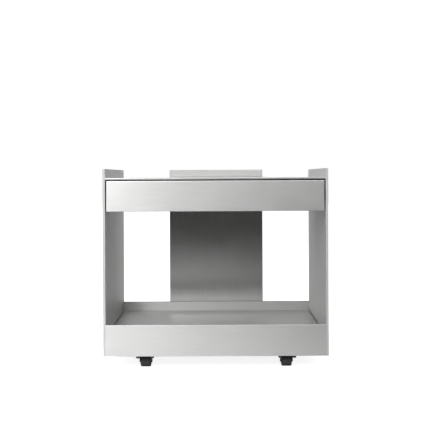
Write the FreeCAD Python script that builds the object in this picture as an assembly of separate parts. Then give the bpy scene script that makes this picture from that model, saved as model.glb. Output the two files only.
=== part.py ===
"""Serving trolley of folded stainless sheet: side panels, a sunk table top, one wide drawer on ball runners,
a low tray and four swivel castors.

Millimetres. The origin is on the floor under the middle of the trolley, +Z is up, the drawer opens towards -Y
and +X is to the right of someone who stands in front of the drawer.
"""
import FreeCAD
import Part
import math
import os

vec = FreeCAD.Vector

# Carcass
WIDTH = 900.0
DEPTH = 500.0
PANEL_HEIGHT = 748.0
PANEL_THICK = 10.0
BACK_WIDTH = 440.0
BACK_THICK = 10.0
SKIN = 1.2
BEND = 1.0
LINER_RETURN = 6.0
LINER_FIT = 0.1

# Table top
TOP_DROP = 36.0
TOP_EDGE = 8.0
TOP_SHEET = 1.5
TOP_RETURN = 14.0
TOP_REAR_FLANGE = 30.0
TOP_SIDE_FIT = 0.2
TOP_SCREW_DROP = 19.5
ANGLE_LEG = 25.0
ANGLE_SHEET = 2.0
STIFFENER_DEPTH = 16.0
STIFFENER_WIDTH = 40.0
STIFFENER_FLANGE = 14.0
STIFFENER_COUNT = 2

# Drawer
DRAWER_GAP = 4.5
DRAWER_FRONT_HEIGHT = 122.0
DRAWER_FRONT_THICK = 16.0
DRAWER_TRAVEL = 420.0
BOX_SHEET = 1.0
BOX_BEND = 0.6
BOX_RAISE = 8.0
BOX_FLANGE = 14.0
BOX_HEADROOM = 16.0
BOX_HEM_HEIGHT = 9.0
BOX_REAR_ROOM = 6.0

# Drawer runners
RUNNER_THICK = 12.7
RUNNER_HEIGHT = 45.0
RUNNER_SHEET = 1.2
RUNNER_BEND = 0.6
RUNNER_FLANGE = 10.5
RUNNER_LIP = 2.6
RUNNER_FRONT_ROOM = 4.0
RUNNER_BACK_ROOM = 20.0
RUNNER_SLOT_LENGTH = 12.0
RUNNER_SLOT_WIDTH = 4.4
BALL_DIAMETER = 4.5
BALL_CLEAR = 0.2
BALL_GROOVE = 0.35
BALLS_PER_ROW = 5
CAGE_SHEET = 0.5
CAGE_GAP = 0.4
CAGE_END_ROOM = 15.0
BUFFER_LENGTH = 6.0
BUFFER_HEIGHT = 24.0
BUFFER_GAP = 0.3

# Tray
FASCIA_HEIGHT = 125.0
FASCIA_THICK = 10.0
FASCIA_LIP = 12.0
FASCIA_SIDE_FIT = 0.3
TRAY_DEPTH = 43.0
TRAY_SIDE_GAP = 4.0
TRAY_FLANGE = 28.0
RAIL_SHEET = 2.0
RAIL_BEND = 2.0
RAIL_MARGIN = 4.0
RAIL_FLANGE = 16.0
RIB_WIDTH = 50.0
RIB_DEPTH = 25.0
RIB_END_ROOM = 1.0
BRACKET_LEG = 32.0
BRACKET_HEIGHT = 34.0
BRACKET_RAISE = 8.0
BRACKET_SHEET = 2.0
BRACKET_SCREW = 21.0

# Screws
SCREW_SHANK = 4.0
SCREW_HOLE_PLAY = 0.4
SCREW_HEAD = 7.0
SCREW_HEAD_HEIGHT = 1.6
SCREW_HEAD_ROOM = 1.8
SCREW_LENGTH = 5.0
SCREW_END_INSET = 40.0

# Castors
CASTOR_SIDE_INSET = 164.0
CASTOR_PLATE_ROOM = 2.5
WHEEL_DIAMETER = 46.0
WHEEL_WIDTH = 41.0
WHEEL_SHOULDER = 5.0
TYRE_THICK = 6.0
RIM_THICK = 2.0
RIM_INSET = 2.0
WEB_THICK = 6.0
HUB_DIAMETER = 16.0
HUB_END_ROOM = 0.5
WHEEL_SIDE_ROOM = 1.0
WHEEL_TOP_ROOM = 2.0
TRAIL = 14.0
FORK_SHEET = 2.5
FORK_BEND = 2.0
FORK_REACH = 16.0
FORK_BOSS = 6.0
RACE_HEIGHT = 3.5
RACE_RADIUS = 13.0
RACE_BAND = 5.0
RACE_RING = 0.8
RACE_BALLS = 8
RACE_CLEAR = 0.2
PLATE_THICK = 3.0
PLATE_EDGE = 9.7
PLATE_CORNER = 6.0
BOLT_ANGLE = 42.2
BOLT_DIAMETER = 8.0
BOLT_HEX = 13.0
BOLT_HEAD_HEIGHT = 5.3
BOLT_END = 1.0
BOLT_SWING_ROOM = 2.4
NUT_HEIGHT = 9.5
NUT_FLANGE = 17.5
NUT_FLANGE_HEIGHT = 1.5
AXLE_DIAMETER = 6.0
AXLE_HEX = 10.0
AXLE_HEAD = 1.8
AXLE_NUT = 2.5
PIN_DIAMETER = 8.0
PIN_HEAD = 15.0
PIN_HEAD_HEIGHT = 2.0
PIN_CHAMFER = 1.0
HOLE_PLAY = 0.3
TURN_CLEAR = 0.08
END_PLAY = 0.25

# Levels and places worked out from the sizes above
TINY = 1e-6
wheel_radius = WHEEL_DIAMETER / 2
fork_under = WHEEL_DIAMETER + WHEEL_TOP_ROOM
fork_top = fork_under + FORK_SHEET
plate_under = fork_top + RACE_HEIGHT
panel_bottom = plate_under + PLATE_THICK
panel_top = panel_bottom + PANEL_HEIGHT
front_y = -DEPTH / 2
rear_y = DEPTH / 2
inner_x = WIDTH / 2 - PANEL_THICK
back_y = rear_y - BACK_THICK
top_z = panel_top - TOP_DROP
top_under = top_z - TOP_SHEET
top_edge_z = top_z - TOP_EDGE
fascia_top = panel_bottom + FASCIA_HEIGHT
floor_z = fascia_top - TRAY_DEPTH
floor_under = floor_z - SKIN
floor_front_y = front_y + FASCIA_THICK
floor_rear_y = back_y - FASCIA_THICK
floor_flange_z = floor_z - TRAY_FLANGE
hat_under = top_under - STIFFENER_DEPTH - ANGLE_SHEET
hole_radius = (SCREW_SHANK + SCREW_HOLE_PLAY) / 2

# Drawer places
drawer_top = top_edge_z - DRAWER_GAP
drawer_bottom = drawer_top - DRAWER_FRONT_HEIGHT
drawer_half = inner_x - DRAWER_GAP
drawer_back_y = front_y + DRAWER_FRONT_THICK
box_half = inner_x - RUNNER_THICK
box_bottom = drawer_bottom + BOX_RAISE
box_top = hat_under - BOX_HEADROOM
runner_z = (box_bottom + box_top) / 2
runner_front = drawer_back_y + RUNNER_FRONT_ROOM
runner_rear = back_y - RUNNER_BACK_ROOM
slider_rear = runner_rear - BUFFER_LENGTH - BUFFER_GAP
slider_length = slider_rear - runner_front
box_rear = slider_rear - BOX_REAR_ROOM
cage_length = slider_length - DRAWER_TRAVEL / 2 - 2 * CAGE_END_ROOM
cage_front = (runner_front + slider_rear - cage_length) / 2

# Runner section: depths from the side panel and half heights
row_height = BALL_DIAMETER + 2 * BALL_CLEAR - 2 * BALL_GROOVE
outer_half = RUNNER_HEIGHT / 2
middle_half = outer_half - RUNNER_SHEET - row_height
slider_half = middle_half - RUNNER_SHEET - row_height
outer_cage_web = RUNNER_SHEET + SCREW_HEAD_ROOM
middle_web = outer_cage_web + CAGE_SHEET + CAGE_GAP
inner_cage_web = middle_web + RUNNER_SHEET + CAGE_GAP
slider_lip = inner_cage_web + CAGE_SHEET + CAGE_GAP
slider_web = RUNNER_THICK - RUNNER_SHEET
lip_inside = RUNNER_FLANGE - RUNNER_SHEET
outer_ball_depth = (outer_cage_web + CAGE_SHEET + lip_inside) / 2
inner_ball_depth = (inner_cage_web + CAGE_SHEET + slider_web) / 2
outer_ball_height = outer_half - RUNNER_SHEET - row_height / 2
inner_ball_height = middle_half - RUNNER_SHEET - row_height / 2
runner_screw_y = [
    runner_front + SCREW_END_INSET,
    (runner_front + slider_rear) / 2,
    slider_rear - SCREW_END_INSET,
]
runner_slot_y = [(first + second) / 2 for first, second in zip(runner_screw_y, runner_screw_y[1:])]

# Castor places
fork_half = WHEEL_WIDTH / 2 + WHEEL_SIDE_ROOM + FORK_SHEET
bolt_corner = BOLT_HEX / math.sqrt(3)
bolt_circle = math.hypot(fork_half, FORK_REACH) + BOLT_SWING_ROOM + bolt_corner
bolt_x = bolt_circle * math.cos(math.radians(BOLT_ANGLE))
bolt_y = bolt_circle * math.sin(math.radians(BOLT_ANGLE))
plate_half_x = bolt_x + PLATE_EDGE
plate_half_y = bolt_y + PLATE_EDGE
castor_x = WIDTH / 2 - CASTOR_SIDE_INSET
castor_inset = FASCIA_LIP + CASTOR_PLATE_ROOM + plate_half_y
front_castor_y = front_y + castor_inset
rear_castor_y = back_y - castor_inset
rail_half = plate_half_x + RAIL_MARGIN
rail_front = floor_front_y + SKIN + RIB_END_ROOM
rail_rear = floor_rear_y - SKIN - RIB_END_ROOM
CASTORS = {
    "front_left": (-castor_x, front_castor_y),
    "front_right": (castor_x, front_castor_y),
    "rear_left": (-castor_x, rear_castor_y),
    "rear_right": (castor_x, rear_castor_y),
}

PLANES = {
    "yz": (vec(0, 1, 0), vec(0, 0, 1), vec(1, 0, 0)),
    "xz": (vec(1, 0, 0), vec(0, 0, 1), vec(0, 1, 0)),
    "xy": (vec(1, 0, 0), vec(0, 1, 0), vec(0, 0, 1)),
}
FACES = {"-x": (0, -1), "+x": (0, 1), "-y": (1, -1), "+y": (1, 1), "-z": (2, -1), "+z": (2, 1)}
ACROSS = vec(1, 0, 0)
ALONG = vec(0, 1, 0)
UP = vec(0, 0, 1)


def on_plane(plane, u, v):
    """Point of a drawing plane in space."""
    first, second, _ = PLANES[plane]
    return first * u + second * v


def rounded_wire(corners, plane):
    """Closed wire through corners (u, v, radius), each rounded by its own arc."""
    spots = []
    for index, (u, v, radius) in enumerate(corners):
        here = on_plane(plane, u, v)
        if radius < TINY:
            spots.append((here, None, here))
            continue
        back = (on_plane(plane, *corners[index - 1][:2]) - here).normalize()
        ahead = (on_plane(plane, *corners[(index + 1) % len(corners)][:2]) - here).normalize()
        half = back.getAngle(ahead) / 2
        reach = radius / math.tan(half)
        bulge = radius / math.sin(half) - radius
        middle = here + (back + ahead).normalize() * bulge
        spots.append((here + back * reach, middle, here + ahead * reach))
    edges = []
    for index, (start, middle, end) in enumerate(spots):
        if middle is not None:
            edges.append(Part.Arc(start, middle, end).toShape())
        following = spots[(index + 1) % len(spots)][0]
        if end.distanceToPoint(following) > TINY:
            edges.append(Part.LineSegment(end, following).toShape())
    return Part.Wire(edges)


def extruded(corners, plane, start, length):
    """Rounded outline pulled square to its plane from a start level."""
    direction = PLANES[plane][2]
    solid = Part.Face(rounded_wire(corners, plane)).extrude(direction * length)
    solid.translate(direction * start)
    return solid


def folded(path, sheet, bend, plane, start, length):
    """Sheet folded along a path of its outer face, with its thickness to the right of the path."""
    steps = []
    for (u0, v0), (u1, v1) in zip(path, path[1:]):
        run = math.hypot(u1 - u0, v1 - v0)
        steps.append(((u1 - u0) / run, (v1 - v0) / run))
    faces = []
    backs = []
    for index, (u, v) in enumerate(path):
        du0, dv0 = steps[max(index - 1, 0)]
        du1, dv1 = steps[min(index, len(steps) - 1)]
        mitre = sheet / (1 + du0 * du1 + dv0 * dv1)
        turn = du0 * dv1 - dv0 * du1
        outside = bend + sheet if turn < 0 else bend
        inside = bend if turn < 0 else bend + sheet
        is_end = index in (0, len(path) - 1)
        faces.append((u, v, 0 if is_end else outside))
        backs.append((u + (dv0 + dv1) * mitre, v - (du0 + du1) * mitre, 0 if is_end else inside))
    return extruded(faces + backs[::-1], plane, start, length)


def rounded_block(low, high, closed, radius):
    """Block whose closed face has rounded edges."""
    axis, sign = FACES[closed]
    block = Part.makeBox(high[0] - low[0], high[1] - low[1], high[2] - low[2], vec(*low))
    level = high[axis] if sign > 0 else low[axis]
    rim = [edge for edge in block.Edges if all(abs(end.Point[axis] - level) < TINY for end in edge.Vertexes)]
    return block.makeFillet(radius, rim)


def pan(low, high, closed, sheet, bend):
    """Shallow pan of folded sheet: one closed face and four returns."""
    axis, sign = FACES[closed]
    inner_low = [value + sheet for value in low]
    inner_high = [value - sheet for value in high]
    if sign > 0:
        inner_low[axis] = low[axis] - sheet
    else:
        inner_high[axis] = high[axis] + sheet
    outer = rounded_block(low, high, closed, bend + sheet)
    return outer.cut(rounded_block(inner_low, inner_high, closed, bend))


def mirrored(shape):
    """The same shape on the other side of the trolley."""
    return shape.mirror(vec(0, 0, 0), ACROSS)


def hexagon(across_flats, height, base, axis):
    """Hexagonal prism from a base point along an axis."""
    corner = across_flats / math.sqrt(3)
    side = axis.cross(UP) if abs(axis.dot(UP)) < 0.5 else ACROSS
    across = axis.cross(side)
    points = []
    for step in range(6):
        angle = math.radians(60 * step)
        points.append(base + side * (corner * math.cos(angle)) + across * (corner * math.sin(angle)))
    return Part.Face(Part.makePolygon(points + points[:1])).extrude(axis * height)


def screw(seat, inward):
    """Pan-head screw whose head rests on a seat and whose shank runs inward."""
    head = Part.makeCylinder(SCREW_HEAD / 2, SCREW_HEAD_HEIGHT, seat - inward * SCREW_HEAD_HEIGHT, inward)
    shank = Part.makeCylinder(SCREW_SHANK / 2, SCREW_LENGTH, seat, inward)
    return head.fuse(shank).removeSplitter()


def drilled(shape, seats, inward):
    """Shape with a screw hole at each seat."""
    bores = []
    for seat in seats:
        start = seat - inward * SCREW_LENGTH
        bores.append(Part.makeCylinder(hole_radius, 2 * SCREW_LENGTH, start, inward))
    return shape.cut(Part.makeCompound(bores))


def pair(points):
    """Points and their mirror images on the left side."""
    return points + [vec(-point.x, point.y, point.z) for point in points]


# Screw seats on the right side, each on the face that its head rests on
angle_seats = [
    vec(inner_x - ANGLE_SHEET, y, top_under - ANGLE_SHEET - ANGLE_LEG / 2)
    for y in (runner_front + SCREW_END_INSET, runner_rear - SCREW_END_INSET)
]
bracket_z = panel_bottom + SKIN + BRACKET_RAISE + BRACKET_HEIGHT / 2
bracket_seats = [
    vec(inner_x - BRACKET_SHEET, front_y + SKIN + BRACKET_SCREW, bracket_z),
    vec(inner_x - BRACKET_SHEET, back_y - SKIN - BRACKET_SCREW, bracket_z),
]
cabinet_seats = [vec(inner_x - RUNNER_SHEET, y, runner_z) for y in runner_screw_y]
slider_seats = [vec(inner_x - slider_web, y, runner_z) for y in runner_screw_y]
back_seats = [
    vec(x, back_y - sheet, z)
    for x in (-BACK_WIDTH / 2 + SCREW_END_INSET, BACK_WIDTH / 2 - SCREW_END_INSET)
    for sheet, z in ((TOP_SHEET, top_z - TOP_SCREW_DROP), (SKIN, floor_flange_z - SCREW_HEAD))
]
front_seats = [
    vec(x, drawer_back_y + BOX_SHEET, runner_z)
    for x in (-box_half + SCREW_END_INSET, 0, box_half - SCREW_END_INSET)
]


def side_panel():
    """Right side panel: a tall pan whose returns make the 10 mm edge."""
    low = (inner_x, front_y, panel_bottom)
    high = (WIDTH / 2, rear_y, panel_top)
    return pan(low, high, "+x", SKIN, BEND)


def side_liner():
    """Inner skin of the right side panel, let into the returns of the pan."""
    rim = SKIN + LINER_FIT
    low = (inner_x, front_y + rim, panel_bottom + rim)
    high = (inner_x + LINER_RETURN, rear_y - rim, panel_top - rim)
    liner = pan(low, high, "-x", SKIN, BEND)
    return drilled(liner, angle_seats + bracket_seats + cabinet_seats, ACROSS)


def back_panel():
    """Outer pan of the half-width back panel."""
    low = (-BACK_WIDTH / 2, back_y, panel_bottom)
    high = (BACK_WIDTH / 2, rear_y, panel_top)
    return pan(low, high, "+y", SKIN, BEND)


def back_liner():
    """Front skin of the back panel, let into the returns of its pan."""
    rim = SKIN + LINER_FIT
    low = (-BACK_WIDTH / 2 + rim, back_y, panel_bottom + rim)
    high = (BACK_WIDTH / 2 - rim, back_y + LINER_RETURN, panel_top - rim)
    return drilled(pan(low, high, "-y", SKIN, BEND), back_seats, ALONG)


def table_top():
    """Top sheet: a hemmed front edge, the flat of the table and a flange down at the back panel."""
    path = [
        (front_y + TOP_RETURN, top_edge_z),
        (front_y, top_edge_z),
        (front_y, top_z),
        (back_y, top_z),
        (back_y, top_z - TOP_REAR_FLANGE),
    ]
    half = inner_x - TOP_SIDE_FIT
    return drilled(folded(path, TOP_SHEET, BEND, "yz", -half, 2 * half), back_seats, ALONG)


def hat(middle, top, half, flange, depth):
    """Path of a hat channel that hangs under a flat face."""
    return [
        (middle - half - flange, top),
        (middle - half, top),
        (middle - half, top - depth),
        (middle + half, top - depth),
        (middle + half, top),
        (middle + half + flange, top),
    ]


def table_stiffeners():
    """Hat channels across the underside of the top, between its two support angles."""
    half = inner_x - ANGLE_LEG - TOP_SIDE_FIT
    pitch = (runner_rear - runner_front) / (STIFFENER_COUNT + 1)
    channels = []
    for step in range(STIFFENER_COUNT):
        middle = runner_front + pitch * (step + 1)
        path = hat(middle, top_under, STIFFENER_WIDTH / 2, STIFFENER_FLANGE, STIFFENER_DEPTH)
        channels.append(folded(path, ANGLE_SHEET, BEND, "yz", -half, 2 * half))
    return Part.makeCompound(channels)


def top_angle():
    """Right support angle, screwed to the side liner and carrying the table top."""
    path = [
        (inner_x - ANGLE_LEG, top_under),
        (inner_x, top_under),
        (inner_x, top_under - ANGLE_SHEET - ANGLE_LEG),
    ]
    angle = folded(path, ANGLE_SHEET, BEND, "xz", runner_front, runner_rear - runner_front)
    return drilled(angle, angle_seats, ACROSS)


def fascia(face_y, inward):
    """Tray fascia: a lip under it, its tall face, a flat top and a skirt down to the tray floor."""
    path = [
        (face_y + FASCIA_LIP * inward, panel_bottom),
        (face_y, panel_bottom),
        (face_y, fascia_top),
        (face_y + FASCIA_THICK * inward, fascia_top),
        (face_y + FASCIA_THICK * inward, floor_flange_z),
    ]
    if inward < 0:
        path.reverse()
    half = inner_x - FASCIA_SIDE_FIT
    return folded(path, SKIN, BEND, "yz", -half, 2 * half)


def tray_floor():
    """Tray floor with flanges turned down against the two fascia skirts and along its free sides."""
    half = inner_x - TRAY_SIDE_GAP
    low = (-half, floor_front_y, floor_flange_z)
    high = (half, floor_rear_y, floor_z)
    return pan(low, high, "+z", SKIN, BEND)


def castor_rail():
    """Deep hat channel from front to rear that carries the tray floor on two castors."""
    depth = floor_under - panel_bottom - RAIL_SHEET
    path = hat(castor_x, floor_under, rail_half - RAIL_SHEET, RAIL_FLANGE, depth)
    rail = folded(path, RAIL_SHEET, RAIL_BEND, "xz", rail_front, rail_rear - rail_front)
    bores = []
    for middle_y in (front_castor_y, rear_castor_y):
        for x, y in bolt_places(castor_x, middle_y):
            bores.append(bolt_bore(x, y))
    return rail.cut(Part.makeCompound(bores))


def tray_rib():
    """Hat channel under the middle of the tray floor."""
    path = hat(0, floor_under, RIB_WIDTH / 2, RAIL_FLANGE, RIB_DEPTH)
    return folded(path, SKIN, BEND, "xz", rail_front, rail_rear - rail_front)


def tray_brackets():
    """Angle brackets that tie the four ends of the fascias to the side panels."""
    brackets = []
    for face_y, inward in ((front_y + SKIN, 1), (back_y - SKIN, -1)):
        edge_x = inner_x - FASCIA_SIDE_FIT
        path = [
            (edge_x - BRACKET_LEG, face_y),
            (inner_x, face_y),
            (inner_x, face_y + BRACKET_LEG * inward),
        ]
        if inward > 0:
            path.reverse()
        base = panel_bottom + SKIN + BRACKET_RAISE
        right = folded(path, BRACKET_SHEET, BEND, "xy", base, BRACKET_HEIGHT)
        right = drilled(right, bracket_seats, ACROSS)
        brackets += [right, mirrored(right)]
    return Part.makeCompound(brackets)


def frame_screws():
    """Screws of the support angles, the tray brackets and the back panel."""
    right = [screw(seat, ACROSS) for seat in angle_seats + bracket_seats]
    left = [mirrored(shape) for shape in right]
    back = [screw(seat, ALONG) for seat in back_seats]
    return Part.makeCompound(right + left + back)


def drawer_front():
    """Drawer front: a wide pan with rounded edges."""
    low = (-drawer_half, front_y, drawer_bottom)
    high = (drawer_half, drawer_back_y, drawer_top)
    return pan(low, high, "-y", SKIN, BEND)


def drawer_front_liner():
    """Back skin of the drawer front, let into its returns."""
    rim = SKIN + LINER_FIT
    low = (-drawer_half + rim, drawer_back_y - LINER_RETURN, drawer_bottom + rim)
    high = (drawer_half - rim, drawer_back_y, drawer_top - rim)
    return drilled(pan(low, high, "+y", SKIN, BEND), front_seats, ALONG)


def hemmed(wall, low, high):
    """Wall with its upper edge folded back to double thickness in the space between two corners."""
    size = [top - bottom for bottom, top in zip(low, high)]
    return wall.fuse(Part.makeBox(*size, vec(*low))).removeSplitter()


def drawer_box():
    """Floor of the drawer, and on it a front and a rear wall with hemmed edges."""
    half = box_half - BOX_SHEET - BOX_BEND
    level = box_bottom + BOX_SHEET
    outline = [(-half, drawer_back_y, 0), (half, drawer_back_y, 0), (half, box_rear, 0), (-half, box_rear, 0)]
    sheets = [extruded(outline, "xy", level, BOX_SHEET)]
    foot = level + BOX_SHEET
    lip = box_top - BOX_HEM_HEIGHT
    for outer, inward in ((drawer_back_y, BOX_SHEET), (box_rear, -BOX_SHEET)):
        inner = outer + inward
        hem = inner + inward
        outline = [(outer, foot, 0), (inner, foot, 0), (inner, lip, 0), (hem, lip, 0), (hem, box_top, 0),
                   (outer, box_top, 0)]
        sheets.append(extruded(outline, "yz", -half, 2 * half))
    return drilled(Part.makeCompound(sheets), front_seats, ALONG)


def drawer_sides():
    """Side walls of the drawer, each on a flange that runs under its floor."""
    path = [(box_half, box_top), (box_half, box_bottom), (box_half - BOX_FLANGE, box_bottom)]
    wall = folded(path, BOX_SHEET, BOX_BEND, "xz", drawer_back_y, box_rear - drawer_back_y)
    low = (box_half - 2 * BOX_SHEET, drawer_back_y + 2 * BOX_SHEET, box_top - BOX_HEM_HEIGHT)
    wall = hemmed(wall, low, (box_half - BOX_SHEET, box_rear - 2 * BOX_SHEET, box_top))
    right = drilled(wall, slider_seats, ACROSS)
    return Part.makeCompound([right, mirrored(right)])


def drawer_screws():
    """Screws that hold the box to the drawer front and to the sliding members."""
    right = [screw(seat, ACROSS * -1) for seat in slider_seats]
    front = [screw(seat, ALONG * -1) for seat in front_seats]
    return Part.makeCompound(right + [mirrored(shape) for shape in right] + front)


def runner_section(path, sheet, start, length):
    """Runner member of the left side, drawn by depth from the side panel and height from the middle."""
    placed = [(-inner_x + depth, runner_z + height) for depth, height in path]
    return folded(placed, sheet, RUNNER_BEND, "xz", start, length)


def ball_grooves(depth, height):
    """Upper and lower ball tracks of one pair of rows on the left side."""
    radius = BALL_DIAMETER / 2 + BALL_CLEAR
    length = runner_rear - runner_front
    tracks = []
    for side in (-1, 1):
        start = vec(-inner_x + depth, runner_front, runner_z + side * height)
        tracks.append(Part.makeCylinder(radius, length, start, ALONG))
    return Part.makeCompound(tracks)


def slotted(member, depth):
    """Runner member of the left side with oblong spare holes through its web, between its screws."""
    radius = RUNNER_SLOT_WIDTH / 2
    reach = RUNNER_SLOT_LENGTH / 2
    slots = []
    for y in runner_slot_y:
        outline = [
            (y - reach, runner_z - radius, radius),
            (y + reach, runner_z - radius, radius),
            (y + reach, runner_z + radius, radius),
            (y - reach, runner_z + radius, radius),
        ]
        slots.append(extruded(outline, "yz", -inner_x + depth, RUNNER_SHEET))
    return member.cut(Part.makeCompound(slots))


def runner_cabinet():
    """Left cabinet member: a channel with lips that hold the outer balls."""
    path = [
        (RUNNER_FLANGE, -outer_half + RUNNER_LIP),
        (RUNNER_FLANGE, -outer_half),
        (0, -outer_half),
        (0, outer_half),
        (RUNNER_FLANGE, outer_half),
        (RUNNER_FLANGE, outer_half - RUNNER_LIP),
    ]
    member = runner_section(path, RUNNER_SHEET, runner_front, runner_rear - runner_front)
    member = member.cut(ball_grooves(outer_ball_depth, outer_ball_height))
    return slotted(drilled(member, pair(cabinet_seats), ACROSS), 0)


def runner_middle():
    """Left middle member, which runs on the outer balls and carries the inner ones."""
    reach = slider_web - CAGE_GAP
    path = [
        (reach, -middle_half),
        (middle_web, -middle_half),
        (middle_web, middle_half),
        (reach, middle_half),
    ]
    member = runner_section(path, RUNNER_SHEET, runner_front, slider_length)
    member = member.cut(ball_grooves(outer_ball_depth, outer_ball_height))
    return member.cut(ball_grooves(inner_ball_depth, inner_ball_height))


def runner_drawer():
    """Left sliding member, screwed to the drawer box."""
    path = [
        (slider_lip, slider_half),
        (RUNNER_THICK, slider_half),
        (RUNNER_THICK, -slider_half),
        (slider_lip, -slider_half),
    ]
    member = runner_section(path, RUNNER_SHEET, runner_front, slider_length)
    member = member.cut(ball_grooves(inner_ball_depth, inner_ball_height))
    return slotted(drilled(member, pair(slider_seats), ACROSS), slider_web)


def ball_cages(web, reach, depth, height):
    """Cage strips and balls of one pair of rows, on both sides of the drawer."""
    half = height + CAGE_SHEET / 2
    path = [(reach, -half), (web, -half), (web, half), (reach, half)]
    strip = runner_section(path, CAGE_SHEET, cage_front, cage_length)
    pitch = cage_length / BALLS_PER_ROW
    balls = []
    pockets = []
    for step in range(BALLS_PER_ROW):
        for side in (-1, 1):
            middle = vec(-inner_x + depth, cage_front + pitch * (step + 0.5), runner_z + side * height)
            balls.append(Part.makeSphere(BALL_DIAMETER / 2, middle))
            base = middle - UP * CAGE_SHEET
            pockets.append(Part.makeCylinder(BALL_DIAMETER / 2 + BALL_CLEAR, 2 * CAGE_SHEET, base, UP))
    left = [strip.cut(Part.makeCompound(pockets))] + balls
    return Part.makeCompound(left + [mirrored(shape) for shape in left])


def runner_buffers():
    """Rubber stops in the rear ends of the cabinet members."""
    depth = lip_inside - RUNNER_SHEET
    corner = vec(-inner_x + RUNNER_SHEET, runner_rear - BUFFER_LENGTH, runner_z - BUFFER_HEIGHT / 2)
    left = Part.makeBox(depth, BUFFER_LENGTH, BUFFER_HEIGHT, corner)
    return Part.makeCompound([left, mirrored(left)])


def runner_screws():
    """Screws that hold the cabinet members to the side liners."""
    right = [screw(seat, ACROSS) for seat in cabinet_seats]
    return Part.makeCompound(right + [mirrored(shape) for shape in right])


def bolt_places(x, y):
    """Corners of the bolt pattern about a castor's swivel axis."""
    return [(x + side * bolt_x, y + end * bolt_y) for side in (-1, 1) for end in (-1, 1)]


def bolt_bore(x, y):
    """Hole for one plate bolt through the rail and the plate."""
    height = RAIL_SHEET + PLATE_THICK
    return Part.makeCylinder((BOLT_DIAMETER + HOLE_PLAY) / 2, height, vec(x, y, plate_under), UP)


def castor_plate(x, y):
    """Castor top plate with rounded corners, four bolt holes and the seat of the kingpin."""
    corners = [
        (x - plate_half_x, y - plate_half_y, PLATE_CORNER),
        (x + plate_half_x, y - plate_half_y, PLATE_CORNER),
        (x + plate_half_x, y + plate_half_y, PLATE_CORNER),
        (x - plate_half_x, y + plate_half_y, PLATE_CORNER),
    ]
    plate = extruded(corners, "xy", plate_under, PLATE_THICK)
    bores = [bolt_bore(*place) for place in bolt_places(x, y)]
    bores.append(Part.makeCylinder(PIN_DIAMETER / 2, PLATE_THICK, vec(x, y, plate_under), UP))
    return plate.cut(Part.makeCompound(bores))


def castor_bolts():
    """Hexagon bolts and flanged lock nuts that clamp the four plates to the rails."""
    pieces = []
    nut_z = plate_under - NUT_HEIGHT
    flange_z = plate_under - NUT_FLANGE_HEIGHT
    end_z = nut_z - BOLT_END
    head_z = panel_bottom + RAIL_SHEET
    for x, y in CASTORS.values():
        for place in bolt_places(x, y):
            head = hexagon(BOLT_HEX, BOLT_HEAD_HEIGHT, vec(*place, head_z), UP)
            shank = Part.makeCylinder(BOLT_DIAMETER / 2, head_z - end_z, vec(*place, end_z), UP)
            nut = hexagon(BOLT_HEX, NUT_HEIGHT, vec(*place, nut_z), UP)
            flange = Part.makeCylinder(NUT_FLANGE / 2, NUT_FLANGE_HEIGHT, vec(*place, flange_z), UP)
            bore = Part.makeCylinder(BOLT_DIAMETER / 2, NUT_HEIGHT, vec(*place, nut_z), UP)
            pieces += [head.fuse(shank), nut.fuse(flange).cut(bore)]
    return Part.makeCompound(pieces)


def castor_kingpins():
    """Rivets on which the four forks turn."""
    pins = []
    head_z = fork_under - END_PLAY - PIN_HEAD_HEIGHT
    for x, y in CASTORS.values():
        shank = Part.makeCylinder(PIN_DIAMETER / 2, panel_bottom - head_z, vec(x, y, head_z), UP)
        head = Part.makeCylinder(PIN_HEAD / 2, PIN_HEAD_HEIGHT, vec(x, y, head_z), UP)
        edge = [edge for edge in head.Edges if all(end.Point.z < head_z + TINY for end in edge.Vertexes)]
        pins.append(head.makeChamfer(PIN_CHAMFER, edge).fuse(shank).removeSplitter())
    return Part.makeCompound(pins)


def castor_fork():
    """Pressed fork about the swivel axis, its legs swept back to the axle."""
    bottom = wheel_radius - FORK_BOSS
    path = [(-fork_half, bottom), (-fork_half, fork_top), (fork_half, fork_top), (fork_half, bottom)]
    reach = TRAIL + FORK_BOSS
    blank = folded(path, FORK_SHEET, FORK_BEND, "xz", -FORK_REACH, FORK_REACH + reach)
    outline = [
        (-FORK_REACH, fork_top, 0),
        (FORK_REACH, fork_top, 0),
        (FORK_REACH, WHEEL_DIAMETER, FORK_BOSS / 2),
        (reach, wheel_radius + FORK_BOSS / 2, FORK_BOSS / 2),
        (reach, bottom, FORK_BOSS - TINY),
        (TRAIL - FORK_BOSS, bottom, FORK_BOSS - TINY),
        (-FORK_REACH, fork_under - FORK_BOSS, FORK_BOSS / 2),
    ]
    side = extruded(outline, "yz", -fork_half, 2 * fork_half)
    pin_bore = Part.makeCylinder(PIN_DIAMETER / 2 + TURN_CLEAR, FORK_SHEET, vec(0, 0, fork_under), UP)
    axle_bore = axle_rod(AXLE_DIAMETER / 2 + HOLE_PLAY / 2, -fork_half, fork_half)
    return blank.common(side).cut(Part.makeCompound([pin_bore, axle_bore]))


def axle_rod(radius, start, end):
    """Round bar on the wheel axis between two distances from the middle of the fork."""
    return Part.makeCylinder(radius, end - start, vec(start, TRAIL, wheel_radius), ACROSS)


def castor_axle():
    """Axle bolt across the fork with its head on one leg and its nut on the other."""
    end = vec(fork_half, TRAIL, wheel_radius)
    head = hexagon(AXLE_HEX, AXLE_HEAD, vec(-fork_half - AXLE_HEAD, TRAIL, wheel_radius), ACROSS)
    bolt = head.fuse(axle_rod(AXLE_DIAMETER / 2, -fork_half, fork_half + AXLE_NUT))
    nut = hexagon(AXLE_HEX, AXLE_NUT, end, ACROSS)
    nut = nut.cut(axle_rod(AXLE_DIAMETER / 2, fork_half, fork_half + AXLE_NUT))
    return Part.makeCompound([bolt, nut])


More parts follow.
